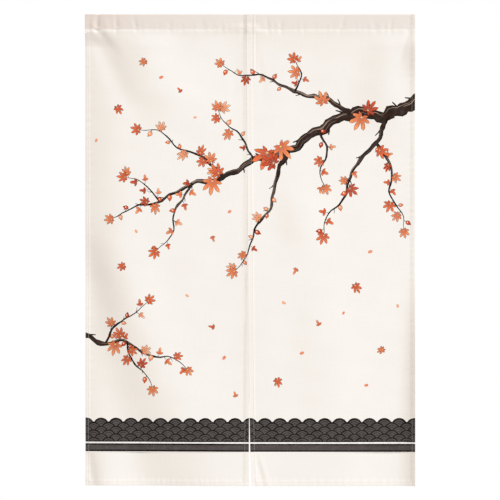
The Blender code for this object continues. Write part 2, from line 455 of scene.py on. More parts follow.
# Print. Every motif is a flat outline with a paint that runs from its inner colour to its outer one.
Motif = namedtuple("Motif", "outline inner outer centre reach cover")


def colour(red, green, blue):
    """A screen colour of 0 to 255 as the light that it stands for."""
    return tuple(((value / 255.0 + 0.055) / 1.055) ** 2.4 for value in (red, green, blue))


CHARCOAL = colour(80, 73, 71)
CHARCOAL_DEEP = colour(44, 40, 39)
INK = colour(12, 8, 6)
BARK = colour(48, 30, 22)
BARK_MID = colour(92, 66, 50)
BARK_LIGHT = colour(150, 122, 102)
LEAF_LINE = colour(88, 28, 12)
LEAF_TONES = (
    (colour(158, 38, 14), colour(216, 88, 44)),
    (colour(196, 62, 24), colour(238, 122, 68)),
    (colour(214, 88, 40), colour(248, 156, 102)),
    (colour(230, 122, 74), colour(253, 190, 148)),
)
LEAF_GOLD = colour(244, 190, 92)
CREAM_LINE = colour(240, 236, 231)


def plain(outline, tone, cover=1.0):
    return Motif(outline, tone, tone, (0.0, 0.0), 1.0, cover)


def grown(outline, margin):
    """The outline moved out by a margin, with its sharp points kept short."""
    bluntest = 0.55
    points = np.array(outline)
    before = points - np.roll(points, 1, axis=0)
    after = np.roll(points, -1, axis=0) - points
    sides = [np.stack((step[:, 1], -step[:, 0]), axis=1) for step in (before, after)]
    sides = [side / np.maximum(np.linalg.norm(side, axis=1, keepdims=True), 1e-6) for side in sides]
    middle = sides[0] + sides[1]
    middle = middle / np.maximum(np.linalg.norm(middle, axis=1, keepdims=True), bluntest)
    return [tuple(point) for point in points + middle * margin]


def smooth_run(points, step):
    """A smooth line through rows of x, z and width, with about one row for each step of length."""
    rows = np.array(points, dtype=float)
    rows = np.vstack((2 * rows[0] - rows[1], rows, 2 * rows[-1] - rows[-2]))
    made = []
    for index in range(1, len(rows) - 2):
        a, b, c, d = rows[index - 1 : index + 3]
        count = max(2, int(np.hypot(*(c - b)[:2]) / step))
        for share in np.arange(count) / count:
            curve = 2 * b + (c - a) * share + (2 * a - 5 * b + 4 * c - d) * share**2
            made.append(0.5 * (curve + (3 * b - a - 3 * c + d) * share**3))
    made.append(rows[-2])
    return np.array(made)


def run_normals(run):
    steps = np.gradient(run[:, :2], axis=0)
    sides = np.stack((-steps[:, 1], steps[:, 0]), axis=1)
    return sides / np.maximum(np.linalg.norm(sides, axis=1, keepdims=True), 1e-6)


def stroke(run, sides, offset, halves):
    """A closed brush stroke beside a run, offset by a share of the run's half width."""
    middle = run[:, :2] + sides * (run[:, 2:] * 0.5 * offset)
    ahead = middle + sides * halves[:, None]
    back = middle - sides * halves[:, None]
    outline = [tuple(point) for point in back] + [tuple(point) for point in ahead[::-1]]
    return outline


# Elbows and knots of thick wood, with the ranges that they are drawn from. Phases run over a turn.
Elbow = namedtuple("Elbow", "gaps share least")
ELBOWS = (Elbow((74, 104), 0.13, 1.6), Elbow((34, 50), 0.07, 0.9))
PHASES = (0, 6.28)
SAW_PEAK = 1.57
BENDS_START = 30.0
KNOT_GAP = 90.0
KNOT_CLEAR = (20.0, 40.0)
KNOT_SWELLS = (0.18, 0.34)
KNOT_SPREAD = 7.0


def gnarled(run, dice):
    """The run with elbows, more of them and sharper on thick wood."""
    lengths = np.concatenate(([0.0], np.cumsum(np.hypot(*np.diff(run[:, :2], axis=0).T))))
    wander = np.zeros(len(run))
    gaps = [dice.uniform(*elbow.gaps) for elbow in ELBOWS]
    for elbow, gap in zip(ELBOWS, gaps):
        saw = np.arcsin(np.sin(2 * math.pi * lengths / gap + dice.uniform(*PHASES))) / SAW_PEAK
        wander = wander + saw * (elbow.share * run[:, 2] + elbow.least)
    bent = run.copy()
    bent[:, :2] += run_normals(run) * (wander * ease(lengths / BENDS_START))[:, None]
    first, last = KNOT_CLEAR
    for _ in range(int(lengths[-1] / KNOT_GAP)):
        knot = dice.uniform(first, max(first + 1.0, lengths[-1] - last))
        bent[:, 2] *= 1.0 + dice.uniform(*KNOT_SWELLS) * bell(lengths - knot, KNOT_SPREAD)
    return bent


# Stubs along a branch, with the ranges that they are drawn from
SPUR_FIRST = (2, 6)
SPUR_GAPS = (4, 11)
SPUR_LEANS = (0.5, 1.4)
SPUR_REACHES = (3.5, 7.0)
SPUR_REACH_SHARE = 0.34
SPUR_ROOT_SHARE = 0.36
SPUR_WIDTH = 1.0
SPUR_WIDTH_SHARE = 0.26
SPUR_WIDEST = 5.5
RUN_STEP = 8.0


def spurs(run, sides, dice):
    """Short pointed stubs and snapped twigs along a branch."""
    motifs = []
    place = dice.randrange(*SPUR_FIRST)
    while place < len(run) - 3:
        width = run[place, 2]
        side = dice.choice((-1, 1))
        lean = (run[place + 2, :2] - run[place, :2]) / (2 * RUN_STEP) * dice.uniform(*SPUR_LEANS)
        reach = dice.uniform(*SPUR_REACHES) + SPUR_REACH_SHARE * width
        root = run[place, :2] + sides[place] * side * width * SPUR_ROOT_SHARE
        tip = root + (sides[place] * side + lean) * reach
        thick = min(SPUR_WIDEST, SPUR_WIDTH + SPUR_WIDTH_SHARE * width)
        motifs.append(stalk(tuple(tip), tuple(root), thick))
        place += dice.randrange(*SPUR_GAPS)
    return motifs


# Dry brush streaks: how many for each share of the bough's width, the band of offsets from its middle
# in which they lie, positive towards the light, and their paint
Streak = namedtuple("Streak", "share low high tone cover")
STREAKS = (
    Streak(2, -0.45, 0.62, BARK_MID, 0.92),
    Streak(1, 0.12, 0.62, BARK_LIGHT, 0.9),
    Streak(1, -0.75, 0.3, INK, 1.0),
)
STREAKS_FOR_WIDTH = 0.34
STREAK_RUNS = (5, 15)
STREAK_HALVES = (0.35, 1.0)
STREAK_UNEVEN = (0.6, 1.2)
STREAK_THIN = 0.35
STREAK_GROWS_OVER = 34.0
STREAK_LEAST = 0.05
STREAK_MIN_POINTS = 4


def streaks(run, sides, dice, count, offsets, streak):
    """Streaks of one kind along a bough, within a band of offsets from its middle."""
    motifs = []
    widest = run[:, 2].max()
    for _ in range(count):
        start = dice.randrange(0, max(1, len(run) - 6))
        end = min(len(run), start + dice.randrange(*STREAK_RUNS))
        part = run[start:end]
        if len(part) < STREAK_MIN_POINTS or part[:, 2].mean() < WOOD_FROM:
            continue
        taper = np.sin(np.linspace(0.0, math.pi, len(part)))
        half = dice.uniform(*STREAK_HALVES) * (STREAK_THIN + widest / STREAK_GROWS_OVER)
        halves = half * taper * np.array([dice.uniform(*STREAK_UNEVEN) for _ in part]) + STREAK_LEAST
        offset = dice.uniform(*offsets)
        motifs.append(plain(stroke(part, sides[start:end], offset, halves), streak.tone, streak.cover))
    return motifs


# A bough's ink body, and the brown wood that shows inside it where it is wide
ROUGHNESS = (0.86, 1.14)
THINNEST_HALF = 0.55
WOOD_FROM = 5.0
WOOD_INSET = 1.2
WOOD_WANDER = 0.3
WOOD_OFFSET = 0.10
WOOD_THINNEST = 0.3
WOOD_MIN_POINTS = 6


def bough(points, seed):
    """A painted branch: an ink body, brown wood inside it, and dry streaks of light and dark."""
    dice = random.Random(seed)
    run = gnarled(smooth_run(points, RUN_STEP), dice)
    sides = run_normals(run)
    lit = 1.0 if sides[:, 1].mean() > 0 else -1.0
    rough = np.array([dice.uniform(*ROUGHNESS) for _ in run])
    halves = np.maximum(run[:, 2] * 0.5 * rough, THINNEST_HALF)
    motifs = [plain(stroke(run, sides, 0.0, halves), INK)] + spurs(run, sides, dice)
    thick = run[:, 2] > WOOD_FROM
    if thick.sum() >= WOOD_MIN_POINTS:
        wood, wood_sides = run[thick], sides[thick]
        inset = WOOD_INSET + WOOD_WANDER * np.array([dice.random() for _ in wood])
        wood_halves = np.maximum(halves[thick] - inset, WOOD_THINNEST)
        motifs.append(plain(stroke(wood, wood_sides, WOOD_OFFSET * lit, wood_halves), BARK))
    count = int(run[:, 2].max() * STREAKS_FOR_WIDTH)
    for streak in STREAKS:
        offsets = (streak.low * lit, streak.high * lit)
        motifs += streaks(run, sides, dice, streak.share * count, offsets, streak)
    return motifs, run


def placed(shape, centre, size, turn, tilt):
    """A shape of unit size, seen at a tilt, turned and moved to its place."""
    cos, sin = math.cos(math.radians(turn)), math.sin(math.radians(turn))
    return [
        (centre[0] + size * (x * tilt * cos - z * sin), centre[1] + size * (x * tilt * sin + z * cos))
        for x, z in shape
    ]


def polar(degrees, radius):
    """A point at an angle from straight up, positive to the right."""
    return (radius * math.sin(math.radians(degrees)), radius * math.cos(math.radians(degrees)))


# Kinds of leaf: lobes as angle and length, the angles of the notches and the lobes, and line widths
LeafKind = namedtuple("LeafKind", "lobes notch lobe rim vein")
SEVEN_LOBES = ((-126, 0.46), (-84, 0.74), (-42, 0.94), (0, 1.0), (42, 0.94), (84, 0.74), (126, 0.46))
GROWN_LEAF = LeafKind(SEVEN_LOBES, 21, 13.0, 1.0, 0.022)
YOUNG_LEAF = LeafKind(((-74, 0.66), (0, 1.0), (74, 0.66)), 34, 20.0, 0.7, 0.020)
YOUNG_UNDER = 17
LOBE_SIDES = ((1.0, 0.60), (0.6, 0.82), (0.0, 1.0), (-0.6, 0.82), (-1.0, 0.60))

# Shares of a leaf's length, and how uneven a leaf is
LEAF_FOOT = 0.07
NOTCH_DEEP = 0.36
NOTCH_SPARED = 0.3
LAST_NOTCH = 0.30
LEAF_FILL = 0.8
VEIN_LENGTH = 0.82
VEIN_COVER = 0.75
HEART_SIZE = 0.16
HEART_COVER = 0.95
LEAF_UNEVEN_X = (0.95, 1.05)
LEAF_UNEVEN_Z = (0.96, 1.04)


def leaf_shape(kind):
    """A maple leaf of unit length, counter-clockwise, with its stalk's end at the origin."""
    points = [polar(180, LEAF_FOOT)]
    for angle, length in reversed(kind.lobes):
        points.append(polar(angle + kind.notch, NOTCH_DEEP * min(1.0, length + NOTCH_SPARED)))
        points += [polar(angle + kind.lobe * aside, share * length) for aside, share in LOBE_SIDES]
    points.append(polar(kind.lobes[0][0] - kind.notch, LAST_NOTCH))
    return points


BUD = [polar(step * -30, 0.5 if step else 0.8) for step in range(12)]
FLAKE = [(0.5 * math.cos(step * math.pi / 5), 0.34 * math.sin(step * math.pi / 5)) for step in range(10)]


def leaf(centre, size, turn, tilt, tone, seed):
    """A leaf with its dark line, its graded fill, its veins and, if it is grown, a gold heart."""
    dice = random.Random(seed)
    kind = YOUNG_LEAF if size < YOUNG_UNDER else GROWN_LEAF
    shape = []
    for x, z in leaf_shape(kind):
        shape.append((x * dice.uniform(*LEAF_UNEVEN_X), z * dice.uniform(*LEAF_UNEVEN_Z)))
    outline = placed(shape, centre, size, turn, tilt)
    inner, outer = LEAF_TONES[tone]
    motifs = [plain(grown(outline, kind.rim), LEAF_LINE)]
    motifs.append(Motif(outline, inner, outer, centre, size * LEAF_FILL, 1.0))
    for angle, length in kind.lobes:
        side = polar(angle + 90, kind.vein)
        vein = [side, polar(angle, VEIN_LENGTH * length), (-side[0], -side[1])]
        motifs.append(plain(placed(vein, centre, size, turn, tilt), LEAF_LINE, VEIN_COVER))
    if kind is GROWN_LEAF:
        heart = placed(FLAKE, centre, size * HEART_SIZE, turn, 1.0)
        motifs.append(plain(heart, LEAF_GOLD, HEART_COVER))
    return motifs


def stalk(start, end, width):
    """A thin line that bows a little and thickens towards its end."""
    middle = ((start[0] + end[0]) / 2 + 0.8, (start[1] + end[1]) / 2)
    run = np.array([(*start, width * 0.5), (*middle, width * 0.7), (*end, width)])
    return plain(stroke(run, run_normals(run), 0.0, run[:, 2] * 0.5), INK)


# What grows along a twig: the shares of buds and of young leaves, and the ranges that sizes, turns and
# gaps are drawn from
THIN_WOOD = 8.0
BUDS_UP_TO = 0.32
YOUNG_UP_TO = 0.64
BUD_SIZES = (9, 13)
YOUNG_SIZES = (13, 16.5)
YOUNG_TILTS = (0.8, 1.0)
GROWN_SIZES = (18, 25)
GROWN_TILTS = (0.7, 1.0)
TONES = (0, 1, 1, 2, 2, 3)
TIP_TONES = (1, 2, 2)
STALK_LENGTHS = (5, 13)
STALK_WIDTH = 1.5
LEAF_TURNS = (-35, 35)
TIP_TURNS = (-20, 20)
LEAF_GAPS = (2.2, 4.6)


def twig_leaves(run, seed):
    """Leaves and buds on the thin part of a branch: one at its tip, and others to either side."""
    dice = random.Random(seed)
    motifs = []
    sides = run_normals(run)
    thin = [index for index in range(len(run)) if run[index, 2] < THIN_WOOD]
    if not thin:
        return motifs
    place = thin[0] + dice.randrange(0, 3)
    side = dice.choice((-1, 1))
    while place < len(run) - 1:
        root = run[place, :2]
        direction = sides[place] * side + (run[place + 1, :2] - root) * 0.06
        heading = math.degrees(math.atan2(-direction[0], direction[1]))
        away = dice.uniform(*STALK_LENGTHS)
        centre = tuple(root + direction / np.linalg.norm(direction) * away)
        kind = dice.random()
        tone = dice.choice(TONES)
        turn = heading + dice.uniform(*LEAF_TURNS)
        motifs.append(stalk(centre, tuple(root), STALK_WIDTH))
        if kind < BUDS_UP_TO:
            motifs += bud(centre, dice.uniform(*BUD_SIZES), turn, tone)
        else:
            young = kind < YOUNG_UP_TO
            size = dice.uniform(*(YOUNG_SIZES if young else GROWN_SIZES))
            tilts = YOUNG_TILTS if young else GROWN_TILTS
            motifs += leaf(centre, size, turn, dice.uniform(*tilts), tone, seed + place)
        side = -side
        place += max(2, int(dice.uniform(*LEAF_GAPS)))
    back = run[-1, :2] - run[-3, :2]
    turn = math.degrees(math.atan2(-back[0], back[1])) + dice.uniform(*TIP_TURNS)
    size = dice.uniform(*GROWN_SIZES)
    return motifs + leaf(tuple(run[-1, :2]), size, turn, 0.9, dice.choice(TIP_TONES), seed + 99)


def bud(centre, size, turn, tone):
    """A round bud with its dark line and a spot of light."""
    inner, outer = LEAF_TONES[tone]
    light = LEAF_TONES[3][1]
    outline = placed(BUD, centre, size, turn, 0.85)
    spot = (centre[0] - size * 0.12, centre[1] + size * 0.1)
    return [
        plain(grown(outline, 0.8), LEAF_LINE),
        Motif(outline, outer, inner, centre, size * 0.6, 1.0),
        plain(placed(FLAKE, spot, size * 0.45, turn, 0.8), light, 0.55),
    ]


# Branches, as rows of x, z and width
BOUGHS = (
    ((434, -212, 30), (352, -256, 27), (262, -252, 24), (172, -296, 21), (92, -350, 18), (8, -372, 15),
     (-70, -416, 12), (-150, -432, 9), (-232, -476, 6.2), (-300, -492, 3.6), (-352, -522, 1.6)),
    ((258, -250, 14), (188, -214, 11), (112, -196, 8.2), (40, -158, 5.4), (-30, -152, 2.8),
     (-74, -128, 1.3)),
    ((98, -346, 13), (66, -418, 9.5), (54, -486, 7.2), (12, -548, 4.8), (-6, -610, 2.8), (-40, -654, 1.3)),
    ((348, -256, 14), (320, -328, 10.5), (264, -390, 7.8), (242, -462, 5.4), (198, -512, 3.2),
     (186, -562, 1.4)),
    ((-66, -414, 8), (-118, -364, 5.8), (-178, -342, 4.2), (-226, -300, 2.6), (-284, -292, 1.3)),
    ((-146, -430, 6.5), (-190, -498, 4.4), (-198, -556, 2.8), (-238, -604, 1.3)),
    ((322, -328, 8), (362, -392, 6), (354, -450, 4.2), (386, -506, 2.4), (392, -550, 1.3)),
    ((-434, -812, 13), (-372, -838, 10), (-316, -832, 7), (-262, -868, 4.8), (-204, -872, 2.8),
     (-158, -902, 1.3)),
    ((-368, -836, 6.5), (-338, -786, 4.4), (-296, -764, 2.6), (-260, -728, 1.2)),
    ((-314, -832, 5), (-300, -884, 3.6), (-262, -918, 2.3), (-250, -952, 1.2)),
    ((176, -296, 7), (196, -352, 4.6), (178, -404, 2.8), (190, -440, 1.3)),
    ((10, -370, 6), (-22, -312, 4.2), (-62, -276, 2.4), (-84, -240, 1.2)),
    ((114, -196, 5), (132, -150, 3.2), (112, -116, 1.3)),
    ((-232, -474, 4), (-268, -432, 2.6), (-318, -412, 1.2)),
)

# Large leaves, placed one by one
BigLeaf = namedtuple("BigLeaf", "x z size turn tilt tone")
BIG_LEAVES = (
    BigLeaf(44, -352, 47, 160, 0.95, 1),
    BigLeaf(78, -336, 40, -140, 0.9, 2),
    BigLeaf(60, -378, 36, 60, 0.9, 0),
    BigLeaf(-96, -424, 37, 172, 0.9, 2),
    BigLeaf(-80, -404, 30, 40, 0.85, 1),
    BigLeaf(284, -262, 38, 150, 0.9, 2),
    BigLeaf(300, -244, 31, -40, 0.85, 0),
    BigLeaf(186, -222, 30, 20, 0.9, 2),
    BigLeaf(330, -346, 28, -120, 0.8, 1),
    BigLeaf(-344, -840, 30, 168, 0.85, 2),
    BigLeaf(-330, -818, 24, 30, 0.85, 1),
)

# Leaves that drift down through the bare cloth
DRIFTING = (
    BigLeaf(-268, -118, 17, 130, 0.8, 2),
    BigLeaf(-176, -196, 13, 40, 0.7, 1),
    BigLeaf(-338, -236, 20, -150, 0.75, 1),
    BigLeaf(-96, -566, 14, 200, 0.7, 2),
    BigLeaf(-322, -640, 18, 110, 0.8, 1),
    BigLeaf(118, -648, 16, 150, 0.7, 2),
    BigLeaf(268, -690, 22, 210, 0.75, 1),
    BigLeaf(176, -790, 14, 30, 0.8, 2),
    BigLeaf(338, -852, 17, 120, 0.7, 2),
    BigLeaf(70, -930, 20, 190, 0.75, 1),
    BigLeaf(-92, -796, 15, 80, 0.7, 1),
    BigLeaf(-36, -972, 13, 20, 0.8, 2),
)
Speck = namedtuple("Speck", "x z size turn tone")
SPECKS = (
    Speck(-226, -160, 12, 30, 2),
    Speck(-392, -320, 10, 70, 3),
    Speck(-140, -262, 9, 10, 3),
    Speck(-52, -502, 11, 40, 2),
    Speck(-290, -552, 10, 120, 3),
    Speck(306, -604, 12, 20, 2),
    Speck(86, -734, 11, 150, 3),
    Speck(238, -760, 9, 60, 2),
    Speck(376, -742, 10, 100, 3),
    Speck(132, -862, 12, 25, 2),
    Speck(-160, -716, 10, 140, 3),
    Speck(-66, -874, 12, 50, 2),
    Speck(296, -944, 11, 10, 2),
)

# Border of wave scales near the foot
SCALE = 19.0
SCALE_ROWS = 6
BORDER_FOOT = -1112.0
BORDER_STRIP = 26.0
ScaleLine = namedtuple("ScaleLine", "share width tone")
SCALE_LINES = (ScaleLine(1.0, 3.0, INK), ScaleLine(0.66, 1.3, INK), ScaleLine(0.36, 1.3, CHARCOAL_DEEP))
SCALE_ARC_POINTS = 8
CREST_ARC_POINTS = 11
BORDER_RIM = 1.8
RULE = 2.6
PALE_RULE = 4.4
LOW_RULE = 3.4


def arc(centre, radius, start, end, count):
    """Points on a circle between two angles from the right-hand side, in degrees."""
    angles = np.radians(np.linspace(start, end, count))
    return [(centre[0] + radius * math.cos(a), centre[1] + radius * math.sin(a)) for a in angles]


def scale_start(radius):
    """The angle at which a ring of a wave scale comes out from under its neighbours."""
    share = radius / SCALE
    return math.degrees(math.acos(min(1.0, (share + 0.25 / share) / math.sqrt(5))) - math.atan(0.5))


def wave_border():
    """A charcoal border: a plain strip with a pale line, and wave scales that rise from it."""
    base = BORDER_FOOT + BORDER_STRIP
    top_centre = base + SCALE * 0.5 * (SCALE_ROWS - 1) - SCALE * 0.5
    count = int(2 * HALF_WIDTH / (2 * SCALE)) + 3
    first = -SCALE * (count - 1)
    crest = []
    for index in reversed(range(count)):
        centre = (first + 2 * SCALE * index, top_centre)
        crest += arc(centre, SCALE, scale_start(SCALE), 180 - scale_start(SCALE), CREST_ARC_POINTS)
        crest.append((centre[0] - SCALE, top_centre + 0.5 * SCALE))
    right, left = crest[0][0], crest[-1][0]
    body = [(left, BORDER_FOOT), (right, BORDER_FOOT)] + crest
    motifs = [plain(grown(body, BORDER_RIM), INK), plain(body, CHARCOAL)]
    for row in range(SCALE_ROWS):
        for index in range(count):
            centre_x = first + 2 * SCALE * index + SCALE * (row % 2)
            motifs += wave_scale((centre_x, top_centre - SCALE * 0.5 * row))
    pale, low = base - RULE, base - RULE - PALE_RULE
    bands = (
        (BORDER_FOOT, base, CHARCOAL),
        (pale, base, INK),
        (low, pale, CREAM_LINE),
        (low - LOW_RULE, low, INK),
        (BORDER_FOOT, BORDER_FOOT + RULE, INK),
    )
    for foot, top, tone in bands:
        motifs.append(plain([(left, foot), (right, foot), (right, top), (left, top)], tone))
    return motifs


def wave_scale(centre):
    """The rings of one wave scale, from the widest in."""
    motifs = []
    for line in SCALE_LINES:
        radius = SCALE * line.share
        start = scale_start(radius)
        outer = arc(centre, radius, start, 180 - start, SCALE_ARC_POINTS)
        inner = arc(centre, radius - line.width, 180 - start, start, SCALE_ARC_POINTS)
        motifs.append(plain(outer + inner, line.tone))
    return motifs


def printed_motifs():
    """The whole print, from what lies lowest to what lies on top."""
    motifs = wave_border()
    runs = []
    for index, points in enumerate(BOUGHS):
        made, run = bough(points, 100 + index)
        motifs += made
        runs.append(run)
    for index, run in enumerate(runs):
        motifs += twig_leaves(run, 300 + 7 * index)
    for index, each in enumerate(BIG_LEAVES + DRIFTING):
        motifs += leaf((each.x, each.z), each.size, each.turn, each.tilt, each.tone, 500 + index)
    for each in SPECKS:
        inner, outer = LEAF_TONES[each.tone]
        outline = placed(FLAKE, (each.x, each.z), each.size, each.turn, 1.0)
        motifs.append(Motif(outline, outer, inner, (each.x, each.z), each.size * 0.6, 0.9))
    return motifs


def even(start, end, step):
    """Even places from start to end, both among them, about a step apart."""
    count = max(1, round(abs(end - start) / step))
    return list(np.linspace(start, end, count + 1))


def column_places(width):
    """Distances from the outer edge of the cloth's columns, and which of them are creased lines."""
    stitch = OUTER_HEM - STITCH_INSET
    far_hem = width - INNER_HEM
    far_stitch = far_hem + STITCH_INSET
    creased = [stitch, OUTER_HEM, OUTER_HEM + HEM_FOLD, far_hem - HEM_FOLD, far_hem, far_stitch]
    places = [0.0] + even(RIM_LOOP, stitch - STITCH_CLEAR, OUTER_HEM_STEP) + [stitch, OUTER_HEM]
    places += even(OUTER_HEM + HEM_FOLD, far_hem - HEM_FOLD, COLUMN_STEP) + [far_hem, far_stitch]
    places += even(far_stitch + STITCH_CLEAR, width - RIM_LOOP, INNER_HEM_STEP) + [width]
    return places, creased


def row_places():
    """Places along the cloth of its rows, and which of them are creased lines."""
    foot = -DROP
    stitch = foot + FOOT_HEM - STITCH_INSET
    hem = foot + FOOT_HEM
    turn_in = BACK_FOOT - TURN_IN
    fine_from = -SEAM_DROP - FINE_ROWS_DROP
    bends = (1, 1 + POCKET_ARC_STEPS, 2 + POCKET_ARC_STEPS, 2 + 2 * POCKET_ARC_STEPS)
    bends = [BAND_RUNS[index] - SEAM_DROP for index in bends]
    creased = [stitch, hem, hem + HEM_FOLD, -SEAM_DROP, turn_in, turn_in + HEM_FOLD, BACK_FOOT]
    places = [foot] + even(foot + RIM_LOOP, stitch - STITCH_CLEAR, FOOT_HEM_STEP) + [stitch, hem]
    places += even(hem + HEM_FOLD, fine_from, ROW_STEP)
    places += even(fine_from, -SEAM_DROP - STITCH_CLEAR, FINE_ROW_STEP)[1:] + [-SEAM_DROP]
    places += even(-SEAM_DROP + STITCH_CLEAR, bends[0], FINE_ROW_STEP)
    places += even(bends[0], bends[1], TOP_ARC_STEP)[1:] + even(bends[1], bends[2], FINE_ROW_STEP)[1:]
    places += even(bends[2], bends[3], BACK_ARC_STEP)[1:] + even(bends[3], turn_in, FINE_ROW_STEP)[1:]
    places += even(turn_in + HEM_FOLD, BACK_FOOT, BACK_ARC_STEP)
    places += even(BACK_FOOT, TOP - RIM_LOOP, TAIL_STEP)[1:] + [TOP]
    return places, creased


def grid(panel):
    """The cloth's own points, row by row, and the lines in it that have to stay whole."""
    width = abs(panel.inner_edge(0.0) - panel.outer_x)
    distances, creased_columns = column_places(width)
    rows, creased_rows = row_places()
    if panel is RIGHT:
        distances = distances[::-1]
    shares = np.array(distances) / width
    points = []
    for along in rows:
        for share in shares:
            points.append((blend(panel.outer_x, float(panel.inner_edge(along)), share), along))
    across, up = len(distances), len(rows)
    lines = []
    for row, along in enumerate(rows):
        if min(abs(along - line) for line in creased_rows) < 1e-6:
            lines += [(row * across + column, row * across + column + 1) for column in range(across - 1)]
    for column, distance in enumerate(distances):
        if min(abs(distance - line) for line in creased_columns) < 1e-6:
            lines += [(row * across + column, (row + 1) * across + column) for row in range(up - 1)]
    rim = list(range(across)) + [row * across + across - 1 for row in range(1, up)]
    rim += [(up - 1) * across + column for column in range(across - 2, -1, -1)]
    rim += [row * across for row in range(up - 2, 0, -1)]
    if panel is LEFT:
        for beside in LAP_LINES:
            spots = [(float(right_inner_edge(along)) + beside, along) for along in rows]
            spots = [(x, along) for x, along in spots if x < left_inner_edge(along) - RIM_LOOP]
            lines += [(len(points) + index, len(points) + index + 1) for index in range(len(spots) - 1)]
            points += spots
    return points, lines, rim


def cut_cloth(panel, motifs):
    """Flat triangles of a panel, cut along the print's outlines, with the motif that each one shows."""
    points, lines, rim = grid(panel)
    points = [Vector(point) for point in points]
    faces = [rim]
    reach = (min(panel.outer_x, RIGHT_EDGE_AT_JOIN) - 1.0, max(panel.outer_x, LEFT_EDGE_AT_JOIN) + 1.0)
    used = [0]
    for index, motif in enumerate(motifs, start=1):
        xs = [x for x, _ in motif.outline]
        if max(xs) < reach[0] or min(xs) > reach[1]:
            continue
        faces.append(list(range(len(points), len(points) + len(motif.outline))))
        points += [Vector(point) for point in motif.outline]
        used.append(index)
    made = delaunay_2d_cdt(points, lines, faces, 0, 1e-4, True)
    flat = np.array([(point.x, point.y) for point in made[0]])
    triangles, shown = [], []
    for triangle, inside in zip(made[2], made[5]):
        if 0 in inside:
            triangles.append(triangle)
            shown.append(used[max(inside)])
    triangles = np.array(triangles)
    kept = np.unique(triangles)
    new_index = np.zeros(len(flat), dtype=int)
    new_index[kept] = np.arange(len(kept))
    return flat[kept], new_index[triangles], np.array(shown)


# Painted shade on the bare cloth. Where it lies double it is painted deeper, most of all in the pocket's
# left end and top fold, and where a fold turns from the key lamp it is painted warmer and darker. Turns
# are slopes away from the key lamp.
PAINTED_SHADE_TONE = (0.920, 0.880, 0.862)
POCKET_SHADE_LEFT = 1.3
POCKET_SHADE_RIGHT = 0.8
POCKET_SHADE_END = 0.6
POCKET_END = 85.0
TOP_FOLD_SHADE = 1.3
TOP_FOLD_SPREAD = 3.0
HEM_SHADE = 0.12
PAINTED_SHADE_FADE = 2.0
FOLD_SHADE_TONE = (1.0, 0.955, 0.905)
FOLD_SHADE_FROM = 0.015
FOLD_SHADE_HALF = 0.1


def in_pocket(along):
    return ease((along + POCKET_DROP + PAINTED_SHADE_FADE / 2) / PAINTED_SHADE_FADE)


def painted_shade_depth(panel, x, along):
    """How much painted shade the cloth gets: in the pocket, most at its left end, on its top fold and on
    the hems.
    """
    sides, foot, _ = hem_masks(panel, x, along)
    shade = blend(POCKET_SHADE_LEFT, POCKET_SHADE_RIGHT, ease((x + HALF_WIDTH) / HALF_WIDTH))
    shade = shade + POCKET_SHADE_END * bell(x + HALF_WIDTH, POCKET_END)
    fold = TOP_FOLD_SHADE * bell(along + SEAM_DROP - TOP_FOLD, TOP_FOLD_SPREAD)
    hems = HEM_SHADE * np.maximum(sides, foot)
    return fold + blend(hems, shade, in_pocket(along))


def painted_shade_colour(panel, x, along):
    return blend(1.0, np.array(PAINTED_SHADE_TONE), painted_shade_depth(panel, x, along)[:, None])


def fold_shade_colour(along, normal):
    """Warmer, darker painted shade on hanging cloth where a fold turns it from the key lamp."""
    towards = lamp_side(KEY_LAMP)
    turned = np.maximum((-towards[1] - normal @ towards) / towards[0] - FOLD_SHADE_FROM, 0.0)
    fold_shade = (1.0 - in_pocket(along)) * turned / (turned + FOLD_SHADE_HALF)
    return blend(1.0, np.array(FOLD_SHADE_TONE), fold_shade[:, None])


def corner_paint(motifs, shown, places):
    """Colour and cover of the print at the corners of each triangle."""
    paint = np.zeros((*places.shape[:2], 4))
    for index in np.unique(shown):
        if index == 0:
            continue
        motif = motifs[index - 1]
        where = shown == index
        share = np.linalg.norm(places[where] - np.array(motif.centre), axis=-1) / motif.reach
        share = np.clip(share, 0.0, 1.0)[..., None]
        paint[where, :, :3] = blend(np.array(motif.inner), np.array(motif.outer), share)
        paint[where, :, 3] = motif.cover
    return paint


def rim_edges(triangles):
    """The directed edges that only one triangle has, and that triangle."""
    edges = {}
    for index, (a, b, c) in enumerate(triangles.tolist()):
        for edge in ((a, b), (b, c), (c, a)):
            edges[edge] = index
    return [(edge, index) for edge, index in edges.items() if (edge[1], edge[0]) not in edges]


# How much of the print shows on the back and on the rim, and how round the rim is
BACK_SHOW = 0.26
RIM_SHOW = 0.6
RIM_BULGE = 0.34


def sew_panel(panel, motifs, material):
    """One closed sheet of cloth with its pocket, hems and print."""
    flat, triangles, shown = cut_cloth(panel, motifs)
    rims = rim_edges(triangles)
    rim, aside = rim_directions(flat, rims)
    x, along = flat[:, 0], flat[:, 1]
    face = surface(panel, x, along)
    normal = outward(panel, x, along)
    thick = thickness(panel, x, along)[:, None]
    deep = normal * thick
    bulged = flat[rim] + aside * RIM_BULGE * thick[rim]
    edge = surface(panel, bulged[:, 0], bulged[:, 1]) - deep[rim] * 0.5
    beyond = edge - face[rim] + deep[rim] * 0.5
    beyond = beyond / np.linalg.norm(beyond, axis=1, keepdims=True)

    paint = corner_paint(motifs, shown, flat[triangles])
    faces, paint, back = closed_faces(triangles, len(flat), paint, rims, rim)
    run = np.vstack((flat, flat, flat[rim]))
    cloth = cloth_object(panel, np.vstack((face, face - deep, edge)), run, faces, paint, back, material)
    facing = np.vstack((normal, -normal, beyond))
    cloth.data.normals_split_custom_set_from_vertices(facing.tolist())
    # Painted shade as a colour on each point: on both faces where the cloth lies double, and on the front
    # also where a fold turns from the key lamp.
    back_shade = painted_shade_colour(panel, x, along)
    front_shade = back_shade * fold_shade_colour(along, normal)
    painted_shade = np.vstack((front_shade, back_shade, front_shade[rim]))
    painted_shade = np.hstack((painted_shade, np.ones((len(painted_shade), 1))))
    painted_shade_layer = cloth.data.attributes.new("painted_shade", "FLOAT_COLOR", "POINT")
    painted_shade_layer.data.foreach_set("color", painted_shade.astype(np.float32).ravel())
    return cloth


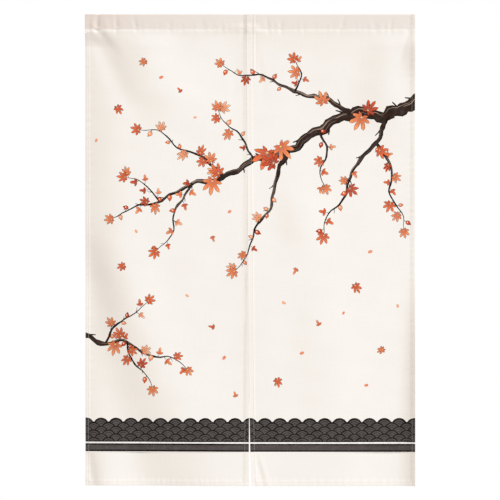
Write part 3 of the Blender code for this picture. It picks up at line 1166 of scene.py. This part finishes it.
def rim_directions(flat, rims):
    """The points on the cloth's rim, and the direction in which each one looks out of the flat cloth."""
    aside = np.zeros((len(flat), 2))
    for (a, b), _ in rims:
        step = flat[b] - flat[a]
        side = np.array((step[1], -step[0])) / np.linalg.norm(step)
        aside[a] += side
        aside[b] += side
    rim = np.array(sorted({index for edge, _ in rims for index in edge}))
    return rim, aside[rim] / np.linalg.norm(aside[rim], axis=1, keepdims=True)


def closed_faces(triangles, count, paint, rims, rim):
    """Faces of the front, the back and the round rim, and for each of their corners its paint and side.

    The front's points come first, then as many for the back, then the rim's own.
    """
    back_paint = paint[:, ::-1].copy()
    back_paint[..., 3] *= BACK_SHOW
    corners = [*paint.reshape(-1, 4), *back_paint.reshape(-1, 4)]
    back = [0] * (3 * len(triangles)) + [1] * (3 * len(triangles))
    faces = triangles.tolist() + (triangles[:, ::-1] + count).tolist()
    on_rim = {index: 2 * count + place for place, index in enumerate(rim.tolist())}
    for (a, b), owner in rims:
        faces.append((b, a, on_rim[a], on_rim[b]))
        faces.append((on_rim[b], on_rim[a], a + count, b + count))
        corners += [paint[owner].mean(axis=0) * (1, 1, 1, RIM_SHOW)] * 8
        back += [0] * 4 + [1] * 4
    return faces, np.array(corners), np.array(back)


def added(name, data):
    """A new object in the scene."""
    made = bpy.data.objects.new(name, data)
    bpy.context.scene.collection.objects.link(made)
    return made


# The neat map: the front in its left half and the back in its right one
MAP_EDGE = 0.01
MAP_HALF_WIDTH = 0.475
MAP_BACK_FROM = 0.505
MAP_HEIGHT = 0.98


def cloth_object(panel, points, flat, faces, paint, back, material):
    """The sheet as an object, with its paint, the run of its threads and a neat map."""
    mesh = bpy.data.meshes.new(panel.name + "_cloth")
    mesh.from_pydata((points * MM).tolist(), [], faces)
    corners = np.zeros(len(mesh.loops), dtype=np.int32)
    mesh.loops.foreach_get("vertex_index", corners)
    print_layer = mesh.color_attributes.new("print", "FLOAT_COLOR", "CORNER")
    print_layer.data.foreach_set("color", paint.astype(np.float32).ravel())
    places = flat[corners]
    run = mesh.uv_layers.new(name="thread_run")
    run.data.foreach_set("uv", (places * MM).astype(np.float32).ravel())
    low = flat.min(axis=0)
    size = flat.max(axis=0) - low
    spread = (places - low) / size
    across = MAP_EDGE + MAP_HALF_WIDTH * spread[:, 0] + MAP_BACK_FROM * back
    neat = np.stack((across, MAP_EDGE + MAP_HEIGHT * spread[:, 1]), axis=1)
    bake_map = mesh.uv_layers.new(name="OFBake")
    bake_map.data.foreach_set("uv", neat.astype(np.float32).ravel())
    mesh.shade_smooth()
    mesh.materials.append(material)
    return added(panel.name + "_cloth", mesh)


# Stitches. A stitch is a thread with two rings and pointed ends, given from its middle as shares of
# half its length. Its ends dip into the cloth.
STITCH_PITCH = 3.3
STITCH_LENGTH = 2.6
THREAD_HALF = 0.22
THREAD_SIDES = 5
StitchRing = namedtuple("StitchRing", "share lift pointed")
STITCH_RINGS = (
    StitchRing(-1.0, -0.12, True),
    StitchRing(-0.72, 0.10, False),
    StitchRing(0.72, 0.10, False),
    StitchRing(1.0, -0.12, True),
)
LINE_FROM_EDGE = 1.0
LINE_STEP = 3.0
JOIN_FROM_SEAM = 2.0
TACK_HALF = 4.0
TACK_ROWS = 3
TACK_ROW_STEP = 0.7


def stitch_places(xs, alongs):
    """Middles and headings of the stitches on a flat line."""
    line = np.stack((xs, alongs), axis=1)
    lengths = np.concatenate(([0.0], np.cumsum(np.linalg.norm(np.diff(line, axis=0), axis=1))))
    middles = np.arange(STITCH_PITCH / 2, lengths[-1], STITCH_PITCH)

    def at(length):
        return np.stack([np.interp(length, lengths, line[:, axis]) for axis in (0, 1)], axis=1)

    heading = at(middles + 0.5) - at(middles - 0.5)
    return at(middles), heading / np.linalg.norm(heading, axis=1, keepdims=True)


def stitches(panel, xs, alongs, inside):
    """Points and faces of the stitches on a line, on the cloth's outer face or on its inner one."""
    place, heading = stitch_places(xs, alongs)
    forward = np.stack((heading[:, 0], 0 * heading[:, 0], heading[:, 1]), axis=1)
    angles = 2 * math.pi * np.arange(THREAD_SIDES) / THREAD_SIDES
    cos, sin = np.cos(angles)[None, :, None], np.sin(angles)[None, :, None]
    rings = []
    for ring in STITCH_RINGS:
        spot = place + heading * STITCH_LENGTH / 2 * ring.share
        point = surface(panel, spot[:, 0], spot[:, 1])
        out = outward(panel, spot[:, 0], spot[:, 1])
        if inside:
            point = point - out * thickness(panel, spot[:, 0], spot[:, 1])[:, None]
            out = -out
        centre = (point + out * ring.lift)[:, None]
        across = np.cross(forward, out)
        across = across / np.linalg.norm(across, axis=1, keepdims=True)
        round_it = across[:, None] * cos + out[:, None] * sin
        rings.append(centre if ring.pointed else centre + round_it * THREAD_HALF)
    points = np.concatenate(rings, axis=1)
    starts = np.arange(len(points)) * points.shape[1]
    faces = (stitch_faces()[None] + starts[:, None, None]).reshape(-1, 3)
    return points.reshape(-1, 3), faces


def stitch_faces():
    """The triangles of one stitch: a point, two rings and a point."""
    last = 1 + 2 * THREAD_SIDES
    faces = []
    for near in range(1, 1 + THREAD_SIDES):
        near_next = 1 + near % THREAD_SIDES
        far, far_next = near + THREAD_SIDES, near_next + THREAD_SIDES
        faces += [(0, near, near_next), (near, far, near_next)]
        faces += [(near_next, far, far_next), (far, last, far_next)]
    return np.array(faces)


def sew_lines(name, lines, material):
    """One object of all the stitches on several lines, given as (panel, xs, alongs, inside)."""
    points, faces, count = [], [], 0
    for panel, xs, alongs, inside in lines:
        made_points, made_faces = stitches(panel, xs, alongs, inside)
        points.append(made_points)
        faces.append(made_faces + count)
        count += len(made_points)
    mesh = bpy.data.meshes.new(name)
    mesh.from_pydata((np.vstack(points) * MM).tolist(), [], np.vstack(faces).tolist())
    mesh.shade_smooth()
    mesh.materials.append(material)
    return added(name, mesh)


def panel_stitching(panel, material):
    """Both side hems, the foot hem and the pocket's line."""
    off_edge = panel.side * LINE_FROM_EDGE

    def across(along):
        inner_end = float(panel.inner_edge(along)) + off_edge
        return np.array(even(panel.outer_x - off_edge, inner_end, LINE_STEP))

    alongs = np.array(even(-DROP + LINE_FROM_EDGE, BACK_FOOT + LINE_FROM_EDGE, LINE_STEP))
    outer = panel.outer_x - panel.side * (OUTER_HEM - STITCH_INSET) + 0.0 * alongs
    inner = panel.inner_edge(alongs) + panel.side * (INNER_HEM - STITCH_INSET)
    foot_xs, pocket_xs = across(-DROP), across(0.0)
    foot = -DROP + FOOT_HEM - STITCH_INSET + 0.0 * foot_xs
    lines = [(panel, pocket_xs, along + 0.0 * pocket_xs, False) for along in (-SEAM_DROP, BACK_FOOT)]
    for inside in (False, True):
        lines.append((panel, outer, alongs, inside))
        lines.append((panel, inner, alongs, inside))
        lines.append((panel, foot_xs, foot, inside))
    return sew_lines(panel.name + "_stitching", lines, material)


def join_stitching(material):
    """The line that joins the panels at the lap, on the front and on the back, with its bar tack."""
    alongs = np.array(even(JOIN_END, BACK_FOOT, LINE_STEP))
    below = np.array(even(JOIN_END, -SEAM_DROP - JOIN_FROM_SEAM, LINE_STEP))
    tack_xs = np.array(even(JOIN_X - TACK_HALF, JOIN_X + TACK_HALF, 1.0))
    lines = [(RIGHT, JOIN_X + 0.0 * alongs, alongs, False), (LEFT, JOIN_X + 0.0 * below, below, True)]
    for row in range(TACK_ROWS):
        tack_alongs = JOIN_END + row * TACK_ROW_STEP + 0.0 * tack_xs
        lines.append((RIGHT, tack_xs, tack_alongs, False))
        lines.append((LEFT, tack_xs, tack_alongs, True))
    return sew_lines("join_stitching", lines, material)


# Materials. Slubs are long, so their noises are stretched along the threads.
CLOTH_TONE = (0.897, 0.852, 0.800)
THREAD_TONE = (0.80, 0.765, 0.70)
THREADS_PER_METRE = 1050.0
WEFT_SLUBS = (26.0, 620.0, 1.0)
WARP_SLUBS = (620.0, 20.0, 1.0)
WEAVE_RELIEF = 0.00012
CROSSING_SHARE = 0.5
SLUB_SHARE = 1.4
SLUB_TONE = 0.06
CROSSING_TONE = 0.012
CLOUD_TONE = 0.005
YARN_ROUGHNESS = 0.84
SLUB_ROUGHNESS = 0.25
INK_OFF_TOPS = -0.012


def new_group(name, inputs, outputs):
    """An empty shader group, with its sockets given as (name, kind, usual value)."""
    group = bpy.data.node_groups.new(name, "ShaderNodeTree")
    for socket_name, kind, value in inputs:
        socket = group.interface.new_socket(socket_name, in_out="INPUT", socket_type=kind)
        if value is not None:
            socket.default_value = value
    for socket_name, kind, _ in outputs:
        group.interface.new_socket(socket_name, in_out="OUTPUT", socket_type=kind)
    return group, group.nodes.new("NodeGroupInput"), group.nodes.new("NodeGroupOutput")


class Wiring:
    """Short ways to add and link the nodes of one tree."""

    def __init__(self, tree):
        self.tree = tree

    def node(self, kind, **settings):
        made = self.tree.nodes.new(kind)
        for key, value in settings.items():
            setattr(made, key, value)
        return made

    def feed(self, socket, source):
        if hasattr(source, "links"):
            self.tree.links.new(source, socket)
        else:
            socket.default_value = source

    def math(self, operation, *values, clamp=False):
        made = self.node("ShaderNodeMath", operation=operation, use_clamp=clamp)
        for socket, value in zip(made.inputs, values):
            self.feed(socket, value)
        return made.outputs[0]

    def scaled(self, vector, scale):
        made = self.node("ShaderNodeVectorMath", operation="MULTIPLY")
        self.feed(made.inputs[0], vector)
        self.feed(made.inputs[1], scale)
        return made.outputs[0]

    def noise(self, vector, scale, detail, roughness):
        made = self.node("ShaderNodeTexNoise")
        settings = {"Vector": vector, "Scale": scale, "Detail": detail, "Roughness": roughness}
        for name, value in settings.items():
            self.feed(made.inputs[name], value)
        return made.outputs[0]

    def span(self, value, low, high):
        """The usual range of a noise, 0.3 to 0.7, spread from low to high."""
        made = self.node("ShaderNodeMapRange")
        for name, number in (("From Min", 0.3), ("From Max", 0.7), ("To Min", low), ("To Max", high)):
            made.inputs[name].default_value = number
        self.feed(made.inputs["Value"], value)
        return made.outputs["Result"]

    def group(self, tree, values):
        made = self.node("ShaderNodeGroup")
        made.node_tree = tree
        for name, value in values.items():
            self.feed(made.inputs[name], value)
        return made

    def mix(self, factor, first, second):
        made = self.node("ShaderNodeMix", data_type="RGBA", clamp_factor=False)
        self.feed(made.inputs["Factor"], factor)
        self.feed(made.inputs["A"], first)
        self.feed(made.inputs["B"], second)
        return made.outputs["Result"]


def plain_weave_group():
    """Over-and-under threads with slubs: a height, a tone for the yarn and its roughness."""
    inputs = (("Run", "NodeSocketVector", None), ("Threads per metre", "NodeSocketFloat", 1100.0),
              ("Slub", "NodeSocketFloat", 1.0))
    outputs = (("Height", "NodeSocketFloat", None), ("Tone", "NodeSocketFloat", None),
               ("Roughness", "NodeSocketFloat", None))
    group, given, result = new_group("plain weave", inputs, outputs)
    wire = Wiring(group)
    split = wire.node("ShaderNodeSeparateXYZ")
    wire.feed(split.inputs[0], given.outputs["Run"])
    turns = wire.math("MULTIPLY", given.outputs["Threads per metre"], math.pi)
    across = wire.math("SINE", wire.math("MULTIPLY", split.outputs["X"], turns))
    along = wire.math("SINE", wire.math("MULTIPLY", split.outputs["Y"], turns))
    crossing = wire.math("MULTIPLY", across, along)
    weft = wire.noise(wire.scaled(given.outputs["Run"], WEFT_SLUBS), 1.0, 2.0, 0.6)
    warp = wire.noise(wire.scaled(given.outputs["Run"], WARP_SLUBS), 1.0, 2.0, 0.6)
    yarn = wire.math("ADD", weft, warp)
    slubs = wire.math("MULTIPLY", wire.math("SUBTRACT", yarn, 1.0), given.outputs["Slub"])
    weave = wire.math("MULTIPLY", crossing, CROSSING_SHARE)
    height = wire.math("ADD", weave, wire.math("MULTIPLY", slubs, SLUB_SHARE))
    tone = wire.math("ADD", wire.math("MULTIPLY", slubs, SLUB_TONE), 1.0)
    tone = wire.math("ADD", tone, wire.math("MULTIPLY", crossing, CROSSING_TONE))
    cloudy = wire.span(wire.noise(given.outputs["Run"], 9.0, 3.0, 0.55), -CLOUD_TONE, CLOUD_TONE)
    rough = wire.math("ADD", YARN_ROUGHNESS, wire.math("MULTIPLY", slubs, SLUB_ROUGHNESS))
    wire.feed(result.inputs["Height"], height)
    wire.feed(result.inputs["Tone"], wire.math("ADD", tone, cloudy))
    wire.feed(result.inputs["Roughness"], rough)
    return group


def ink_group():
    """How thickly the ink lies: pooled and thin patches, and bare yarn tops."""
    inputs = (("Run", "NodeSocketVector", None), ("Cover", "NodeSocketFloat", 1.0),
              ("Height", "NodeSocketFloat", 0.0))
    outputs = (("Cover", "NodeSocketFloat", None), ("Shade", "NodeSocketFloat", None))
    group, given, result = new_group("ink on cloth", inputs, outputs)
    wire = Wiring(group)
    patches = wire.span(wire.noise(given.outputs["Run"], 55.0, 4.0, 0.6), -0.03, 0.02)
    tops = wire.math("MULTIPLY", given.outputs["Height"], INK_OFF_TOPS)
    density = wire.math("ADD", wire.math("ADD", patches, tops), 1.0)
    cover = wire.math("MULTIPLY", given.outputs["Cover"], density, clamp=True)
    shade = wire.span(wire.noise(given.outputs["Run"], 120.0, 3.0, 0.6), 0.86, 1.16)
    wire.feed(result.inputs["Cover"], cover)
    wire.feed(result.inputs["Shade"], shade)
    return group


def new_material(name):
    """A material, its wiring and its shader."""
    material = bpy.data.materials.new(name)
    material.use_nodes = True
    return material, Wiring(material.node_tree), material.node_tree.nodes["Principled BSDF"]


def printed_cloth_material(weave, ink):
    """Cream plain-woven cloth with its print."""
    material, wire, shader = new_material("printed_cream_cloth")
    run = wire.node("ShaderNodeUVMap", uv_map="thread_run").outputs["UV"]
    painted = wire.node("ShaderNodeAttribute", attribute_name="print")
    woven = wire.group(weave, {"Run": run, "Threads per metre": THREADS_PER_METRE, "Slub": 1.0})
    laid = wire.group(
        ink, {"Run": run, "Cover": painted.outputs["Alpha"], "Height": woven.outputs["Height"]}
    )
    # The bare cloth's colour is darkened by the painted shade stored on each point.
    painted_shade = wire.node("ShaderNodeAttribute", attribute_name="painted_shade").outputs["Color"]
    bare = wire.scaled(wire.scaled(CLOTH_TONE, painted_shade), woven.outputs["Tone"])
    inked = wire.scaled(painted.outputs["Color"], laid.outputs["Shade"])
    wire.feed(shader.inputs["Base Color"], wire.mix(laid.outputs["Cover"], bare, inked))
    wire.feed(shader.inputs["Roughness"], woven.outputs["Roughness"])
    bump = wire.node("ShaderNodeBump")
    bump.inputs["Strength"].default_value = 0.22
    bump.inputs["Distance"].default_value = WEAVE_RELIEF
    wire.feed(bump.inputs["Height"], woven.outputs["Height"])
    wire.feed(shader.inputs["Normal"], bump.outputs["Normal"])
    shader.inputs["Specular IOR Level"].default_value = 0.12
    shader.inputs["Sheen Weight"].default_value = 0.05
    shader.inputs["Sheen Roughness"].default_value = 0.5
    return material


def sewing_thread_material():
    """Off-white twisted thread."""
    material, wire, shader = new_material("off_white_thread")
    place = wire.node("ShaderNodeTexCoord").outputs["Object"]
    twist = wire.noise(wire.scaled(place, (900.0, 900.0, 900.0)), 1.0, 2.0, 0.5)
    tone = wire.span(twist, 0.86, 1.06)
    wire.feed(shader.inputs["Base Color"], wire.scaled(THREAD_TONE, tone))
    wire.feed(shader.inputs["Roughness"], wire.span(twist, 0.55, 0.75))
    shader.inputs["Sheen Weight"].default_value = 0.1
    return material


# Camera, light and floor
PIXEL = 2.545
FRAME_PIXELS = 500.0
FRAME_CENTRE_ROW = 250.0
TOP_EDGE_ROW = 14.4
LENS = 150.0
SENSOR = 36.0
FLOOR_Z = -1.62
FLOOR_REACH = 2.1
FLOOR_SIDES = 96
FLOOR_TONE = (0.86, 0.86, 0.85, 1.0)
AMBIENT_ABOVE = 0.50
AMBIENT_BELOW = 0.45

# Soft distant lamps. Azimuth turns from straight in front towards the right.
Lamp = namedtuple("Lamp", "name azimuth elevation softness strength")
KEY_LAMP = Lamp("key", 50, 25, 24, 3.08)
BACK_LAMP = Lamp("back", 205, 35, 40, 0.9)
LAMP_DISTANCE = 3.0


def lamp_side(lamp):
    """The unit direction from the curtain towards a lamp."""
    turn, rise = math.radians(lamp.azimuth), math.radians(lamp.elevation)
    return np.array((math.sin(turn) * math.cos(rise), -math.cos(turn) * math.cos(rise), math.sin(rise)))


def add_camera():
    """Straight on, with the curtain as large in the frame as in the photograph."""
    camera = bpy.data.cameras.new("camera")
    camera.lens = LENS
    camera.sensor_width = SENSOR
    eye = added("camera", camera)
    distance = FRAME_PIXELS * PIXEL * MM * LENS / SENSOR
    eye.location = (0.0, -distance, -(FRAME_CENTRE_ROW - TOP_EDGE_ROW) * PIXEL * MM)
    eye.rotation_euler = (math.pi / 2, 0.0, 0.0)
    bpy.context.scene.camera = eye


def add_lamp(lamp):
    light = bpy.data.lights.new(lamp.name, "SUN")
    light.angle = math.radians(lamp.softness)
    light.energy = lamp.strength
    holder = added(lamp.name, light)
    side = Vector(lamp_side(lamp))
    holder.location = side * LAMP_DISTANCE
    holder.rotation_euler = (-side).to_track_quat("-Z", "Y").to_euler()


def add_surroundings():
    """White surroundings that look white to the camera, and dimmer ambient light, more from above."""
    world = bpy.data.worlds.new("white_room")
    world.use_nodes = True
    wire = Wiring(world.node_tree)
    background = world.node_tree.nodes["Background"]
    seen = wire.node("ShaderNodeLightPath").outputs["Is Camera Ray"]
    split = wire.node("ShaderNodeSeparateXYZ")
    wire.feed(split.inputs[0], wire.node("ShaderNodeTexCoord").outputs["Generated"])
    height = wire.math("MULTIPLY_ADD", split.outputs["Z"], 0.5, 0.5)
    ambient = wire.math("MULTIPLY_ADD", height, AMBIENT_ABOVE - AMBIENT_BELOW, AMBIENT_BELOW)
    wire.feed(background.inputs["Color"], (1.0, 1.0, 1.0, 1.0))
    wire.feed(background.inputs["Strength"], wire.math("MAXIMUM", seen, ambient))
    bpy.context.scene.world = world
    bpy.context.scene.view_settings.view_transform = "Standard"


def add_floor():
    """A round pale floor, which gives the curtain no light back."""
    mesh = bpy.data.meshes.new("floor")
    rim = arc((0.0, 0.0), FLOOR_REACH, 0.0, 360.0, FLOOR_SIDES + 1)[:-1]
    mesh.from_pydata([(x, y, FLOOR_Z) for x, y in rim], [], [list(range(FLOOR_SIDES))])
    floor = added("floor", mesh)
    material, _, shader = new_material("pale_floor")
    shader.inputs["Base Color"].default_value = FLOOR_TONE
    shader.inputs["Roughness"].default_value = 0.9
    mesh.materials.append(material)
    floor.visible_diffuse = False


def dress_curtain():
    add_camera()
    add_surroundings()
    add_lamp(KEY_LAMP)
    add_lamp(BACK_LAMP)
    add_floor()
    cloth_material = printed_cloth_material(plain_weave_group(), ink_group())
    thread_material = sewing_thread_material()
    motifs = printed_motifs()
    sewn = {}
    for panel in (LEFT, RIGHT):
        cloth = sew_panel(panel, motifs, cloth_material)
        thread = panel_stitching(panel, thread_material)
        sewn[panel.name] = (cloth, thread)
    join = join_stitching(thread_material)
    for name, (cloth, thread) in sewn.items():
        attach(cloth, "root")
        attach(thread, "root")
        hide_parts(name + "_panel", name + "_rod_pocket")
    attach(join, "root")


dress_curtain()
